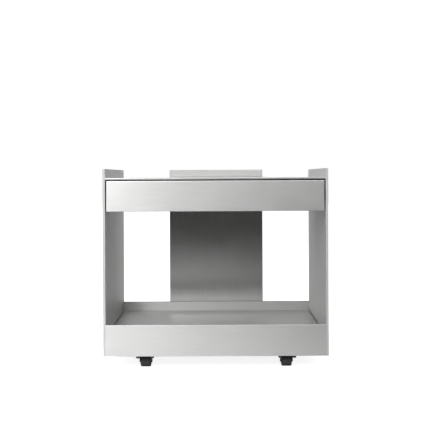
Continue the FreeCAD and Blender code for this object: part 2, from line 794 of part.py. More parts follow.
def swivel_race():
    """Ring of balls between the fork and the plate, held by a flat cage."""
    middle_z = fork_top + RACE_HEIGHT / 2
    base = vec(0, 0, middle_z - RACE_RING / 2)
    ring = Part.makeCylinder(RACE_RADIUS + RACE_BAND / 2, RACE_RING, base, UP)
    ring = ring.cut(Part.makeCylinder(RACE_RADIUS - RACE_BAND / 2, RACE_RING, base, UP))
    radius = RACE_HEIGHT / 2 - RACE_CLEAR
    balls = []
    pockets = []
    for step in range(RACE_BALLS):
        angle = 2 * math.pi * step / RACE_BALLS
        middle = vec(RACE_RADIUS * math.cos(angle), RACE_RADIUS * math.sin(angle), middle_z)
        balls.append(Part.makeSphere(radius, middle))
        pockets.append(Part.makeCylinder(radius + RACE_CLEAR, 2 * RACE_RING, middle - UP * RACE_RING, UP))
    return Part.makeCompound([ring.cut(Part.makeCompound(pockets))] + balls)


def turned(outline):
    """Wheel part turned about the axle from an outline (distance across, radius, corner)."""
    placed = [(across, wheel_radius + radius, corner) for across, radius, corner in outline]
    face = Part.Face(rounded_wire(placed, "xz"))
    face.translate(ALONG * TRAIL)
    return face.revolve(vec(0, TRAIL, wheel_radius), ACROSS, 360)


def wheel_core():
    """Wheel core: a long hub on the axle, a thin web and a rim under the tyre."""
    hub_half = fork_half - FORK_SHEET - HUB_END_ROOM
    rim_half = WHEEL_WIDTH / 2 - RIM_INSET
    bore = AXLE_DIAMETER / 2 + TURN_CLEAR
    hub = HUB_DIAMETER / 2
    rim_out = wheel_radius - TYRE_THICK
    rim_in = rim_out - RIM_THICK
    web = WEB_THICK / 2
    outline = [
        (-hub_half, bore, 0),
        (-hub_half, hub, 0),
        (-web, hub, 0),
        (-web, rim_in, 0),
        (-rim_half, rim_in, 0),
        (-rim_half, rim_out, 0),
        (rim_half, rim_out, 0),
        (rim_half, rim_in, 0),
        (web, rim_in, 0),
        (web, hub, 0),
        (hub_half, hub, 0),
        (hub_half, bore, 0),
    ]
    return turned(outline)


def tyre():
    """Tyre with rounded shoulders, gripping the rim at both sides."""
    half = WHEEL_WIDTH / 2
    rim_half = half - RIM_INSET
    rim_out = wheel_radius - TYRE_THICK
    lip = rim_out - RIM_THICK / 2
    outline = [
        (-half, lip, 0),
        (-half, wheel_radius, WHEEL_SHOULDER),
        (half, wheel_radius, WHEEL_SHOULDER),
        (half, lip, 0),
        (rim_half, lip, 0),
        (rim_half, rim_out, 0),
        (-rim_half, rim_out, 0),
        (-rim_half, lip, 0),
    ]
    return turned(outline)


def at_castor(shape, x, y):
    """Castor piece moved to its swivel axis, with its wheel trailing towards the rear."""
    placed = mirrored(shape) if x < 0 else shape.copy()
    placed.translate(vec(x, y, 0))
    return placed


def both_sides(name, right):
    """A piece and its mirror image, named for their sides."""
    return {name + "_right": right, name + "_left": mirrored(right)}


def trolley():
    """Every piece of the trolley by its name."""
    parts = {}
    parts.update(both_sides("side_panel", side_panel()))
    parts.update(both_sides("side_liner", side_liner()))
    parts.update(both_sides("top_angle", top_angle()))
    parts.update(both_sides("castor_rail", castor_rail()))
    for name, member in (
        ("runner_cabinet", runner_cabinet()),
        ("runner_middle", runner_middle()),
        ("runner_drawer", runner_drawer()),
    ):
        parts[name + "_left"] = member
        parts[name + "_right"] = mirrored(member)
    parts["back_panel"] = back_panel()
    parts["back_liner"] = back_liner()
    parts["table_top"] = table_top()
    parts["table_stiffeners"] = table_stiffeners()
    parts["front_fascia"] = fascia(front_y, 1)
    parts["rear_fascia"] = drilled(fascia(back_y, -1), back_seats, ALONG)
    parts["tray_floor"] = tray_floor()
    parts["tray_rib"] = tray_rib()
    parts["tray_brackets"] = tray_brackets()
    parts["frame_screws"] = frame_screws()
    parts["drawer_front"] = drawer_front()
    parts["drawer_front_liner"] = drawer_front_liner()
    parts["drawer_box"] = drawer_box()
    parts["drawer_sides"] = drawer_sides()
    parts["drawer_screws"] = drawer_screws()
    parts["runner_outer_cages"] = ball_cages(
        outer_cage_web, lip_inside - CAGE_GAP, outer_ball_depth, outer_ball_height
    )
    parts["runner_inner_cages"] = ball_cages(
        inner_cage_web, slider_web - CAGE_GAP, inner_ball_depth, inner_ball_height
    )
    parts["runner_buffers"] = runner_buffers()
    parts["runner_screws"] = runner_screws()
    parts["castor_bolts"] = castor_bolts()
    parts["castor_kingpins"] = castor_kingpins()
    moving = {
        "fork": castor_fork(),
        "race": swivel_race(),
        "axle": castor_axle(),
        "wheel": wheel_core(),
        "tyre": tyre(),
    }
    for place, (x, y) in CASTORS.items():
        parts["castor_plate_" + place] = castor_plate(x, y)
        for name, shape in moving.items():
            parts["castor_" + name + "_" + place] = at_castor(shape, x, y)
    return parts


os.makedirs("parts", exist_ok=True)
for node, shape in trolley().items():
    shape.exportStep("parts/" + node + ".step")
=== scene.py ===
"""Looks of the serving trolley: brushed stainless sheet, zinc runners and dark castors, on a pale floor."""
import math

import bmesh
import bpy
from bpy.props import FloatProperty, FloatVectorProperty, PointerProperty
from bpy.types import Operator, Panel, PropertyGroup
from mathutils import Euler, Matrix, Vector


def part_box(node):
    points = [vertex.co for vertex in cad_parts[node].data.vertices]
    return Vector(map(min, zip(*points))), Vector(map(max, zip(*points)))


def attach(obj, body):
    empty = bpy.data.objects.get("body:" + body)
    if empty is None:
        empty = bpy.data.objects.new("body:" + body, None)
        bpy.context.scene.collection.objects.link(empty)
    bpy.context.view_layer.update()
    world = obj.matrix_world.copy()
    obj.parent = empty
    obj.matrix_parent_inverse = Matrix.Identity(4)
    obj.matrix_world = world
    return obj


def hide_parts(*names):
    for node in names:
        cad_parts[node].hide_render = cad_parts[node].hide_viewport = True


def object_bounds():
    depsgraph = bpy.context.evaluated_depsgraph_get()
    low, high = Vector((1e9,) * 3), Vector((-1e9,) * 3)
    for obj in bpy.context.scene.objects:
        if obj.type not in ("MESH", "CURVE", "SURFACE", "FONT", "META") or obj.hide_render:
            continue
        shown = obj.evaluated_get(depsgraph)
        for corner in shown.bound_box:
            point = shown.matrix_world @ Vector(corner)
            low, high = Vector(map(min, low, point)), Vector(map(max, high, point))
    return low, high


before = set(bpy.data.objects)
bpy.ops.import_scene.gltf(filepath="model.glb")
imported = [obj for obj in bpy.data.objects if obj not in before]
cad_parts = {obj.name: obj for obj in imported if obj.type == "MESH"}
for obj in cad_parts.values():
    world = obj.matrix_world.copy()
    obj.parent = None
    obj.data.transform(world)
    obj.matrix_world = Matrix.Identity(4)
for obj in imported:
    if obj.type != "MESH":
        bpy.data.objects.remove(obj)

bl_info = {
    "name": "Serving Trolley Looks",
    "version": (1, 0, 0),
    "blender": (4, 5, 0),
    "location": "View3D > Sidebar > Trolley",
    "description": "Finishes, castor and fastener detail, floor, light and camera of a steel serving trolley",
    "category": "Object",
}

CAD_LOW, CAD_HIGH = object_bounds()
PLACES = ("front_left", "front_right", "rear_left", "rear_right")
SIDES = ("left", "right")

# Meshes: distance within which points are one, steps round each kind of piece, and the sharpest smooth edge
WELD = 0.000001
ROD_STEPS = 24
TYRE_STEPS = 64
SHOULDER_STEPS = 6
CURTAIN_STEPS = 64
SMOOTH_ANGLE = math.radians(35)

# Pan heads: shares of the head's radius and height from the recess outwards, and the recess's taper
PAN_PROFILE = ((0.62, 0.0), (0.80, 0.08), (0.93, 0.28), (1.0, 0.6), (1.0, 1.0))
RECESS_TAPER = 0.7

# Tyres: half the width of the mould line's foot, in heights of the line
MOULD_FOOT = 3

# Brush lines, from fine to coarse: waves to the metre along and across them, and detail
BRUSH_LINES = ((9.0, 1400.0, 2.0), (9.0, 420.0, 3.0), (6.0, 300.0, 2.0))
STREAK_RANGE = (0.36, 0.64)
COARSE_HEIGHT = 0.15
BRUSH_BUMP = 0.25

# Pull: how far highlights are drawn across the grain of each kind of sheet
PULL = 0.65
FASCIA_PULL = 0.75
SIDE_PULL = 0.2
LINER_PULL = 0.3
BACK_PULL = 0.6

# Handling: patches to the metre, the range of noise that shows, and the roughness they take or add
BRUSHED_PATCHES = 6.0
PATCH_RANGE = (0.38, 0.66)
BRUSHED_PATCH_GLOSS = (-0.01, 0.02)
PLATED_PATCH_GLOSS = (-0.03, 0.05)

# Painted fold shade: upward share of the normal at which the painted shade on folds starts and is full
PAINTED_FOLD_SHADE_RANGE = (0.1, 0.5)

# Rolled, plated and coated steel: specks to the metre, specks to a patch, and what specks change
MILL_SPECKS = 420.0
ZINC_SPECKS = 700.0
COAT_SPECKS = 900.0
SPECKS_TO_PATCH = 20
SPECK_TINT = 0.14
SPECK_GLOSS = 0.06
SPECK_DEPTH = 0.00004
SPECK_BUMP = 0.2

# Rubber and plastic: pores and dust patches to the metre, and what dust changes
TYRE_PORES = 1800.0
WHEEL_PORES = 1200.0
BUFFER_PORES = 2500.0
DUST_PATCHES = 40.0
DUST_TINT = (0.85, 1.35)
DUST_GLOSS = (-0.05, 0.1)
PORE_DEPTH = 0.00008
PORE_BUMP = 0.15

# Stage: floor's side and greys, cloth's height, and the curtain's size, slopes and turn to its rear grey
FLOOR_SIDE = 30
FLOOR_GREYS = (0.93, 0.95)
FLOOR_PATCHES = 3.0
FLOOR_ROUGHNESS = 0.9
GROUND_CLOTH = 0.003
CURTAIN_RADIUS = 5.0
CURTAIN_HEIGHT = 3.4
REAR_RISE = math.radians(17)
RIGHT_RISE = math.radians(22)
CURTAIN_TURN = (-1.0, 1.5)


class TrolleySheet(PropertyGroup):
    """Brushed stainless sheet."""

    colour: FloatVectorProperty(
        name="Steel colour", description="Base colour of the brushed sheet", subtype="COLOR", size=3,
        min=0, max=1, default=(0.60, 0.60, 0.595))
    grain_depth: FloatProperty(
        name="Grain depth", description="Depth of the brush lines", unit="LENGTH", default=0.00006)
    grain_tint: FloatProperty(
        name="Grain tint", description="How far the brush lines change the colour", subtype="FACTOR",
        min=0, max=1, default=0.04)
    grain_gloss: FloatProperty(
        name="Grain gloss", description="How far the brush lines change the roughness", subtype="FACTOR",
        min=0, max=1, default=0.02)
    roughness: FloatProperty(
        name="Roughness", description="Roughness of the fronts and the top", subtype="FACTOR",
        min=0, max=1, default=0.45)
    # Painted shade: the fascias' fold faces that look up are darkened to take down the highlight along them
    fold_painted_shade: FloatProperty(
        name="Fold tone", description="Share of the colour left on the fascias' folds that face up",
        subtype="FACTOR", min=0, max=1, default=0.7)
    # Painted shade: the table top is the sheet steel darkened to take down its brightness
    table_painted_shade: FloatProperty(
        name="Table tone", description="Share of the colour on the table top", subtype="FACTOR",
        min=0, max=1, default=0.74)
    tray_roughness: FloatProperty(
        name="Tray roughness", description="Roughness of the tray floor", subtype="FACTOR",
        min=0, max=1, default=0.36)
    # Painted shade: the tray floor is the sheet steel darkened, which also dims what it throws onto the back
    # panel
    tray_painted_shade: FloatProperty(
        name="Tray tone", description="Share of the colour on the tray floor", subtype="FACTOR",
        min=0, max=1, default=0.83)
    side_roughness: FloatProperty(
        name="Side roughness", description="Roughness of the side panels", subtype="FACTOR",
        min=0, max=1, default=0.85)
    # Painted light: the side panels are the sheet steel made lighter to brighten their front edges
    side_painted_light: FloatProperty(
        name="Side tone", description="The side panels' colour as a multiple of the sheet's", min=0, max=1.5,
        default=1.1)
    liner_roughness: FloatProperty(
        name="Liner roughness", description="Roughness of the side panels' inner faces", subtype="FACTOR",
        min=0, max=1, default=0.51)
    back_roughness: FloatProperty(
        name="Back roughness", description="Roughness of the back panel", subtype="FACTOR",
        min=0, max=1, default=0.32)
    wiped: FloatProperty(
        name="Wiped", description="Roughness added where the back panel is wiped above the table top",
        subtype="FACTOR", min=0, max=1, default=0.36)
    wiped_over: FloatProperty(
        name="Wiped over", description="Height above the table top over which the wiped finish sets in",
        unit="LENGTH", default=0.02)


class TrolleyInner(PropertyGroup):
    """Inner sheet, runners, buffers and screws."""

    mill: FloatVectorProperty(
        name="Mill steel", description="Colour of the rolled sheet inside", subtype="COLOR", size=3,
        min=0, max=1, default=(0.52, 0.52, 0.515))
    mill_roughness: FloatProperty(
        name="Mill roughness", description="Roughness of the rolled sheet", subtype="FACTOR",
        min=0, max=1, default=0.42)
    zinc: FloatVectorProperty(
        name="Zinc", description="Colour of the plated runners", subtype="COLOR", size=3,
        min=0, max=1, default=(0.66, 0.67, 0.68))
    zinc_roughness: FloatProperty(
        name="Zinc roughness", description="Roughness of the plated runners", subtype="FACTOR",
        min=0, max=1, default=0.28)
    screw_zinc: FloatVectorProperty(
        name="Screw zinc", description="Colour of the plated screws", subtype="COLOR", size=3,
        min=0, max=1, default=(0.40, 0.40, 0.405))
    screw_roughness: FloatProperty(
        name="Screw roughness", description="Roughness of the plated screws", subtype="FACTOR",
        min=0, max=1, default=0.36)
    buffer: FloatVectorProperty(
        name="Buffer", description="Colour of the runners' buffers", subtype="COLOR", size=3,
        min=0, max=1, default=(0.03, 0.03, 0.03))
    buffer_roughness: FloatProperty(
        name="Buffer roughness", description="Roughness of the runners' buffers", subtype="FACTOR",
        min=0, max=1, default=0.7)


class TrolleyCastor(PropertyGroup):
    """Finishes of the castors and shape of their tyres."""

    steel: FloatVectorProperty(
        name="Castor steel", description="Colour of the forks and plates", subtype="COLOR", size=3,
        min=0, max=1, default=(0.045, 0.045, 0.046))
    steel_roughness: FloatProperty(
        name="Castor roughness", description="Roughness of the forks and plates", subtype="FACTOR",
        min=0, max=1, default=0.38)
    pin_tone: FloatProperty(
        name="Pin tone", description="Share of the steel's colour on bolts, axles and kingpins",
        subtype="FACTOR", min=0, max=1, default=0.8)
    pin_roughness: FloatProperty(
        name="Pin roughness", description="Roughness of bolts, axles and kingpins", subtype="FACTOR",
        min=0, max=1, default=0.42)
    tyre: FloatVectorProperty(
        name="Tyre", description="Colour of the tyres", subtype="COLOR", size=3,
        min=0, max=1, default=(0.026, 0.026, 0.026))
    tyre_roughness: FloatProperty(
        name="Tyre roughness", description="Roughness of the tyres", subtype="FACTOR",
        min=0, max=1, default=0.55)
    wheel_tone: FloatProperty(
        name="Wheel tone", description="The wheels' colour as a multiple of the tyres'", min=0, max=5,
        default=1.6)
    wheel_roughness: FloatProperty(
        name="Wheel roughness", description="Roughness of the wheels", subtype="FACTOR",
        min=0, max=1, default=0.45)
    tyre_depth: FloatProperty(
        name="Tyre depth", description="From the rim to the tread", unit="LENGTH", default=0.006)
    rim_inset: FloatProperty(
        name="Rim inset", description="Rubber beside the rim", unit="LENGTH", default=0.002)
    rim_lip: FloatProperty(
        name="Rim lip", description="How far the rubber reaches down beside the rim", unit="LENGTH",
        default=0.001)
    shoulder: FloatProperty(
        name="Shoulder", description="Radius of the tyre's shoulders", unit="LENGTH", default=0.005)
    mould_line: FloatProperty(
        name="Mould line", description="Height of the line round the middle of the tread", unit="LENGTH",
        default=0.00015)
    side_step: FloatProperty(
        name="Side step", description="Depth of the step in the tyre's side", unit="LENGTH", default=0.0004)


class TrolleyFastener(PropertyGroup):
    """Screws, bolts and axles."""

    pitch: FloatProperty(
        name="Thread pitch", description="From one thread to the next", unit="LENGTH", default=0.0008)
    thread: FloatProperty(
        name="Thread depth", description="Depth of the threads", unit="LENGTH", default=0.0003)
    pan_head: FloatProperty(
        name="Pan head", description="Height of a screw's head", unit="LENGTH", default=0.0016)
    recess: FloatProperty(
        name="Recess", description="Depth of the cross in a screw's head", unit="LENGTH", default=0.001)
    recess_reach: FloatProperty(
        name="Recess reach", description="Length of the cross's arms", unit="LENGTH", default=0.0019)
    chamfer: FloatProperty(
        name="Chamfer", description="Chamfer on bolt heads, nuts and thread ends", unit="LENGTH",
        default=0.0005)
    bolt_head: FloatProperty(
        name="Bolt head", description="Height of a castor bolt's head", unit="LENGTH", default=0.0053)
    bolt_flats: FloatProperty(
        name="Bolt flats", description="Castor bolts and nuts across their flats", unit="LENGTH",
        default=0.013)
    bolt_rod: FloatProperty(
        name="Bolt rod", description="Diameter of a castor bolt", unit="LENGTH", default=0.008)
    bolt_nut: FloatProperty(
        name="Bolt nut", description="Height of a castor nut", unit="LENGTH", default=0.0095)
    nut_flange: FloatProperty(
        name="Nut flange", description="Diameter of a castor nut's flange", unit="LENGTH", default=0.0175)
    flange_height: FloatProperty(
        name="Flange height", description="Height of a castor nut's flange", unit="LENGTH", default=0.0015)
    bolt_play: FloatProperty(
        name="Bolt end", description="Thread that stands out of a castor nut", unit="LENGTH", default=0.001)
    axle_head: FloatProperty(
        name="Axle head", description="Height of an axle's head", unit="LENGTH", default=0.0018)
    axle_nut: FloatProperty(
        name="Axle nut", description="Height of an axle's nut", unit="LENGTH", default=0.0025)
    axle_flats: FloatProperty(
        name="Axle flats", description="Axle heads and nuts across their flats", unit="LENGTH", default=0.01)
    axle_rod: FloatProperty(
        name="Axle rod", description="Diameter of an axle", unit="LENGTH", default=0.006)
    bore_play: FloatProperty(
        name="Bore play", description="Room between a nut and its thread", unit="LENGTH", default=0.00005)


class TrolleyStage(PropertyGroup):
    """Camera, light and floor."""

    camera_distance: FloatProperty(
        name="Camera distance", description="From the drawer front to the camera", unit="LENGTH",
        default=2.535)
    camera_drop: FloatProperty(
        name="Camera drop", description="How far the camera is below the tops of the side panels",
        unit="LENGTH", default=0.034)
    camera_side: FloatProperty(
        name="Camera to the side", description="Camera's distance to the right of the middle", unit="LENGTH",
        default=0.0177)
    camera_roll: FloatProperty(
        name="Camera roll", description="Turn of the camera about its view line", subtype="ANGLE",
        default=math.radians(-0.265))
    lens: FloatProperty(name="Lens", description="Focal length in millimetres", default=53.3)
    shift_x: FloatProperty(name="Shift X", description="Sideways shift of the frame", default=-0.0109)
    shift_y: FloatProperty(name="Shift Y", description="Upward shift of the frame", default=-0.0884)
    sky: FloatProperty(name="Sky light", description="World light that falls on matt surfaces", default=0.4)
    glow: FloatProperty(
        name="Floor glow", description="How far the floor is lifted towards white", default=0.85)
    clearing: FloatVectorProperty(
        name="Clearing", description="Middle of the floor inside the ground cloth", unit="LENGTH", size=2,
        default=(-0.78, -0.35))
    clear_floor: FloatProperty(
        name="Clear floor", description="Radius of the floor inside the ground cloth", unit="LENGTH",
        default=0.31)
    # Painted light pool on the ground cloth: its grey at the clear floor, and where it has faded to black
    cloth: FloatProperty(
        name="Ground cloth", description="Grey of the ground cloth beside the clear floor", subtype="FACTOR",
        min=0, max=1, default=1.0)
    painted_pool_reach: FloatProperty(
        name="Cloth reach", description="Where the ground cloth has darkened to black", unit="LENGTH",
        default=2.2)
    curtain_rear: FloatProperty(
        name="Rear curtain", description="Grey of the curtain behind the trolley", subtype="FACTOR",
        min=0, max=1, default=0.85)
    key: FloatProperty(
        name="Key light", description="Power of the lamp at the left", unit="POWER", default=44)
    key_place: FloatVectorProperty(
        name="Key place", description="Middle of the lamp at the left", subtype="TRANSLATION", size=3,
        default=(-1.2, -1.95, 2.15))
    key_size: FloatVectorProperty(
        name="Key size", description="Width and height of the lamp at the left", unit="LENGTH", size=2,
        default=(1.5, 2.3))
    fill: FloatProperty(
        name="Fill light", description="Power of the wide lamp above", unit="POWER", default=78)
    fill_place: FloatVectorProperty(
        name="Fill place", description="Middle of the wide lamp above", subtype="TRANSLATION", size=3,
        default=(-0.1, -1.6, 2.75))
    fill_size: FloatVectorProperty(
        name="Fill size", description="Width and height of the wide lamp above", unit="LENGTH", size=2,
        default=(4.7, 3.8))


GROUPS = {
    "trolley_sheet": TrolleySheet,
    "trolley_inner": TrolleyInner,
    "trolley_castor": TrolleyCastor,
    "trolley_fastener": TrolleyFastener,
    "trolley_stage": TrolleyStage,
}


def settings(group):
    """One group of the add-on's settings on the scene."""
    return getattr(bpy.context.scene, f"trolley_{group}")


def add_object(name, data):
    """Object of some data, linked to the scene."""
    made = bpy.data.objects.new(name, data)
    bpy.context.scene.collection.objects.link(made)
    return made


def node_group(name, inputs, outputs):
    """Empty shader node group with named sockets, and its end nodes."""
    group = bpy.data.node_groups.new(name, "ShaderNodeTree")
    for socket, kind, default in inputs:
        item = group.interface.new_socket(name=socket, in_out="INPUT", socket_type=kind)
        if default is not None:
            item.default_value = default
    for socket, kind in outputs:
        group.interface.new_socket(name=socket, in_out="OUTPUT", socket_type=kind)
    return group, group.nodes.new("NodeGroupInput"), group.nodes.new("NodeGroupOutput")


def add_node(tree, kind, **values):
    """Node with properties, and with input defaults given as in_NAME or in_INDEX."""
    node = tree.nodes.new(kind)
    for key, value in values.items():
        if key.startswith("in_"):
            name = key.removeprefix("in_")
            node.inputs[int(name) if name.isdigit() else name.replace("_", " ")].default_value = value
        else:
            setattr(node, key, value)
    return node


def reckoned(tree, operation, *terms):
    """Result of a Math node whose terms are sockets or plain numbers."""
    node = add_node(tree, "ShaderNodeMath", operation=operation)
    for socket, term in zip(node.inputs, terms):
        if isinstance(term, (int, float)):
            socket.default_value = term
        else:
            tree.links.new(term, socket)
    return node.outputs[0]


def ramp(tree, value, start, end, low=0.0, high=1.0, curve="LINEAR"):
    """Value that goes from low to high as another goes from start to end."""
    node = add_node(tree, "ShaderNodeMapRange", interpolation_type=curve, in_From_Min=start, in_From_Max=end,
                    in_To_Min=low, in_To_Max=high)
    tree.links.new(value, node.inputs["Value"])
    return node.outputs[0]


def ranged(tree, mask, low, high):
    """Value from low to high as a mask goes from 0 to 1."""
    return ramp(tree, mask, 0.0, 1.0, low, high)


def mixed_colour(tree, low, high, mask):
    """Colour between two, by a mask."""
    mix = add_node(tree, "ShaderNodeMix", data_type="RGBA")
    mix.inputs["A"].default_value = (*low, 1)
    mix.inputs["B"].default_value = (*high, 1)
    tree.links.new(mask, mix.inputs["Factor"])
    return mix.outputs["Result"]


def tinted(tree, colour, share, mask):
    """Colour that falls to a share of itself as a mask goes from 0 to 1."""
    mix = add_node(tree, "ShaderNodeMix", data_type="RGBA", blend_type="MULTIPLY")
    mix.inputs["B"].default_value = (share, share, share, 1)
    tree.links.new(mask, mix.inputs["Factor"])
    tree.links.new(colour, mix.inputs["A"])
    return mix.outputs["Result"]


def upright_mask(tree, place, socket, low, high):
    """Mask that goes from 0 to 1 as the Z of an object coordinate or normal goes from low to high."""
    parts = add_node(tree, "ShaderNodeSeparateXYZ")
    tree.links.new(place.outputs[socket], parts.inputs[0])
    return ramp(tree, parts.outputs["Z"], low, high)


def bumped(tree, shader, height, strength, depth):
    """Gives a shader the bumps of a height."""
    bump = add_node(tree, "ShaderNodeBump", in_Strength=strength, in_Distance=depth)
    tree.links.new(height, bump.inputs["Height"])
    tree.links.new(bump.outputs[0], shader.inputs["Normal"])


def shade(colour, share):
    """Colour made lighter or darker by a share."""
    return tuple(min(1.0, channel * share) for channel in colour)


def brush_grain_group():
    """Streaks along X: a mask from 0 to 1 and a height for bumps."""
    if "brush_grain" in bpy.data.node_groups:
        return bpy.data.node_groups["brush_grain"]
    group, source, target = node_group(
        "brush_grain",
        [("Vector", "NodeSocketVector", None)],
        [("Streak", "NodeSocketFloat"), ("Height", "NodeSocketFloat")])
    lines = []
    for along, across, detail in BRUSH_LINES:
        stretch = add_node(group, "ShaderNodeVectorMath", operation="MULTIPLY", in_1=(along, across, across))
        noise = add_node(group, "ShaderNodeTexNoise", in_Scale=1.0, in_Detail=detail, in_Roughness=0.6)
        group.links.new(source.outputs["Vector"], stretch.inputs[0])
        group.links.new(stretch.outputs[0], noise.inputs["Vector"])
        lines.append(noise.outputs["Fac"])
    fine, middle, wide = lines
    coarse = reckoned(group, "MULTIPLY", reckoned(group, "ADD", middle, wide), 0.5)
    group.links.new(ramp(group, coarse, *STREAK_RANGE), target.inputs["Streak"])
    group.links.new(reckoned(group, "MULTIPLY_ADD", coarse, COARSE_HEIGHT, fine), target.inputs["Height"])
    return group


def handling_group():
    """Soft cloudy patches where hands and cloths have been: a mask from 0 to 1."""
    if "handling" in bpy.data.node_groups:
        return bpy.data.node_groups["handling"]
    group, source, target = node_group(
        "handling",
        [("Vector", "NodeSocketVector", None), ("Scale", "NodeSocketFloat", BRUSHED_PATCHES)],
        [("Patches", "NodeSocketFloat")])
    noise = add_node(group, "ShaderNodeTexNoise", in_Detail=4.0, in_Roughness=0.55)
    group.links.new(source.outputs["Vector"], noise.inputs["Vector"])
    group.links.new(source.outputs["Scale"], noise.inputs["Scale"])
    group.links.new(ramp(group, noise.outputs["Fac"], *PATCH_RANGE), target.inputs["Patches"])
    return group


def new_material(name):
    """Node material, its tree and its shader."""
    material = bpy.data.materials.new(name)
    material.use_nodes = True
    tree = material.node_tree
    return material, tree, tree.nodes["Principled BSDF"]


def brushed_steel(name, grain, roughness, pull, tone=1.0, folds=1.0, wiped_from=None):
    """Brushed stainless with grain along X or Z, highlights pulled across it, a colour share that paints
    light and shade, painted shade on folds that face up, and a wiped top.
    """
    if name in bpy.data.materials:
        return bpy.data.materials[name]
    sheet = settings("sheet")
    material, tree, shader = new_material(name)
    place = add_node(tree, "ShaderNodeTexCoord")
    turn = add_node(tree, "ShaderNodeMapping")
    if grain == "Z":
        turn.inputs["Rotation"].default_value = (0, math.pi / 2, 0)
    tree.links.new(place.outputs["Object"], turn.inputs["Vector"])
    brush = add_node(tree, "ShaderNodeGroup", node_tree=brush_grain_group())
    patches = add_node(tree, "ShaderNodeGroup", node_tree=handling_group())
    for group in (brush, patches):
        tree.links.new(turn.outputs[0], group.inputs["Vector"])
    streak = brush.outputs["Streak"]
    # Painted light and shade: the tone share makes lighter and darker copies of one steel for the sides,
    # table and tray
    base = mixed_colour(tree, shade(sheet.colour, tone * (1 - sheet.grain_tint)),
                        shade(sheet.colour, tone * (1 + sheet.grain_tint)), streak)
    # Painted shade: darkens the faces of the folds that look up, which catch the lamps
    if folds < 1:
        base = tinted(tree, base, folds, upright_mask(tree, place, "Normal", *PAINTED_FOLD_SHADE_RANGE))
    tree.links.new(base, shader.inputs["Base Color"])
    lines = ranged(tree, streak, roughness - sheet.grain_gloss, roughness + sheet.grain_gloss)
    rough = reckoned(tree, "ADD", lines, ranged(tree, patches.outputs["Patches"], *BRUSHED_PATCH_GLOSS))
    if wiped_from is not None:
        wipe = upright_mask(tree, place, "Object", wiped_from, wiped_from + sheet.wiped_over)
        rough = reckoned(tree, "ADD", rough, ranged(tree, wipe, 0.0, sheet.wiped))
    tree.links.new(rough, shader.inputs["Roughness"])
    bumped(tree, shader, brush.outputs["Height"], BRUSH_BUMP, sheet.grain_depth)
    across = add_node(tree, "ShaderNodeTangent", direction_type="RADIAL", axis=grain)
    tree.links.new(across.outputs[0], shader.inputs["Tangent"])
    shader.inputs["Metallic"].default_value = 1.0
    shader.inputs["Anisotropic"].default_value = pull
    return material


def speckled_metal(name, colour, roughness, scale, metallic=1.0):
    """Plain metal whose surface varies in soft specks, as rolled, plated or coated steel does."""
    if name in bpy.data.materials:
        return bpy.data.materials[name]
    material, tree, shader = new_material(name)
    place = add_node(tree, "ShaderNodeTexCoord")
    speck = add_node(tree, "ShaderNodeTexNoise", in_Scale=scale, in_Detail=5.0, in_Roughness=0.62)
    patches = add_node(tree, "ShaderNodeGroup", node_tree=handling_group(), in_Scale=scale / SPECKS_TO_PATCH)
    tree.links.new(place.outputs["Object"], speck.inputs["Vector"])
    tree.links.new(place.outputs["Object"], patches.inputs["Vector"])
    mask = speck.outputs["Fac"]
    base = mixed_colour(tree, shade(colour, 1 - SPECK_TINT), shade(colour, 1 + SPECK_TINT), mask)
    tree.links.new(base, shader.inputs["Base Color"])
    specks = ranged(tree, mask, roughness - SPECK_GLOSS, roughness + SPECK_GLOSS)
    rough = reckoned(tree, "ADD", specks, ranged(tree, patches.outputs["Patches"], *PLATED_PATCH_GLOSS))
    tree.links.new(rough, shader.inputs["Roughness"])
    bumped(tree, shader, mask, SPECK_BUMP, SPECK_DEPTH)
    shader.inputs["Metallic"].default_value = metallic
    return material


def mill_steel():
    """Rolled sheet inside the trolley."""
    inner = settings("inner")
    return speckled_metal("mill_steel", inner.mill, inner.mill_roughness, MILL_SPECKS)


def bright_zinc():
    """Zinc plate on the runners and the castors' ball races."""
    inner = settings("inner")
    return speckled_metal("bright_zinc", inner.zinc, inner.zinc_roughness, ZINC_SPECKS)


def fastener_zinc():
    """Zinc plate on the screws."""
    inner = settings("inner")
    return speckled_metal("fastener_zinc", inner.screw_zinc, inner.screw_roughness, COAT_SPECKS)


def castor_paint():
    """Dark coat on the castor plates and forks."""
    castor = settings("castor")
    return speckled_metal("castor_paint", castor.steel, castor.steel_roughness, COAT_SPECKS, metallic=0.0)


def castor_black():
    """Blackened steel of the castors' bolts, axles and kingpins."""
    castor = settings("castor")
    black = shade(castor.steel, castor.pin_tone)
    return speckled_metal("castor_black", black, castor.pin_roughness, COAT_SPECKS, metallic=0.0)


def moulded(name, colour, roughness, grain_scale):
    """Rubber or plastic with a fine moulded skin and a little dust."""
    if name in bpy.data.materials:
        return bpy.data.materials[name]
    material, tree, shader = new_material(name)
    place = add_node(tree, "ShaderNodeTexCoord")
    pores = add_node(tree, "ShaderNodeTexVoronoi", in_Scale=grain_scale)
    dust = add_node(tree, "ShaderNodeGroup", node_tree=handling_group(), in_Scale=DUST_PATCHES)
    tree.links.new(place.outputs["Object"], pores.inputs["Vector"])
    tree.links.new(place.outputs["Object"], dust.inputs["Vector"])
    mask = dust.outputs["Patches"]
    clean, dusty = (shade(colour, share) for share in DUST_TINT)
    tree.links.new(mixed_colour(tree, clean, dusty, mask), shader.inputs["Base Color"])
    low, high = (roughness + change for change in DUST_GLOSS)
    tree.links.new(ranged(tree, mask, low, high), shader.inputs["Roughness"])
    bumped(tree, shader, pores.outputs["Distance"], PORE_BUMP, PORE_DEPTH)
    return material


def coat(material, *names):
    """Gives CAD nodes a material on every slot."""
    for name in names:
        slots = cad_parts[name].data.materials
        slots.clear()
        slots.append(material)


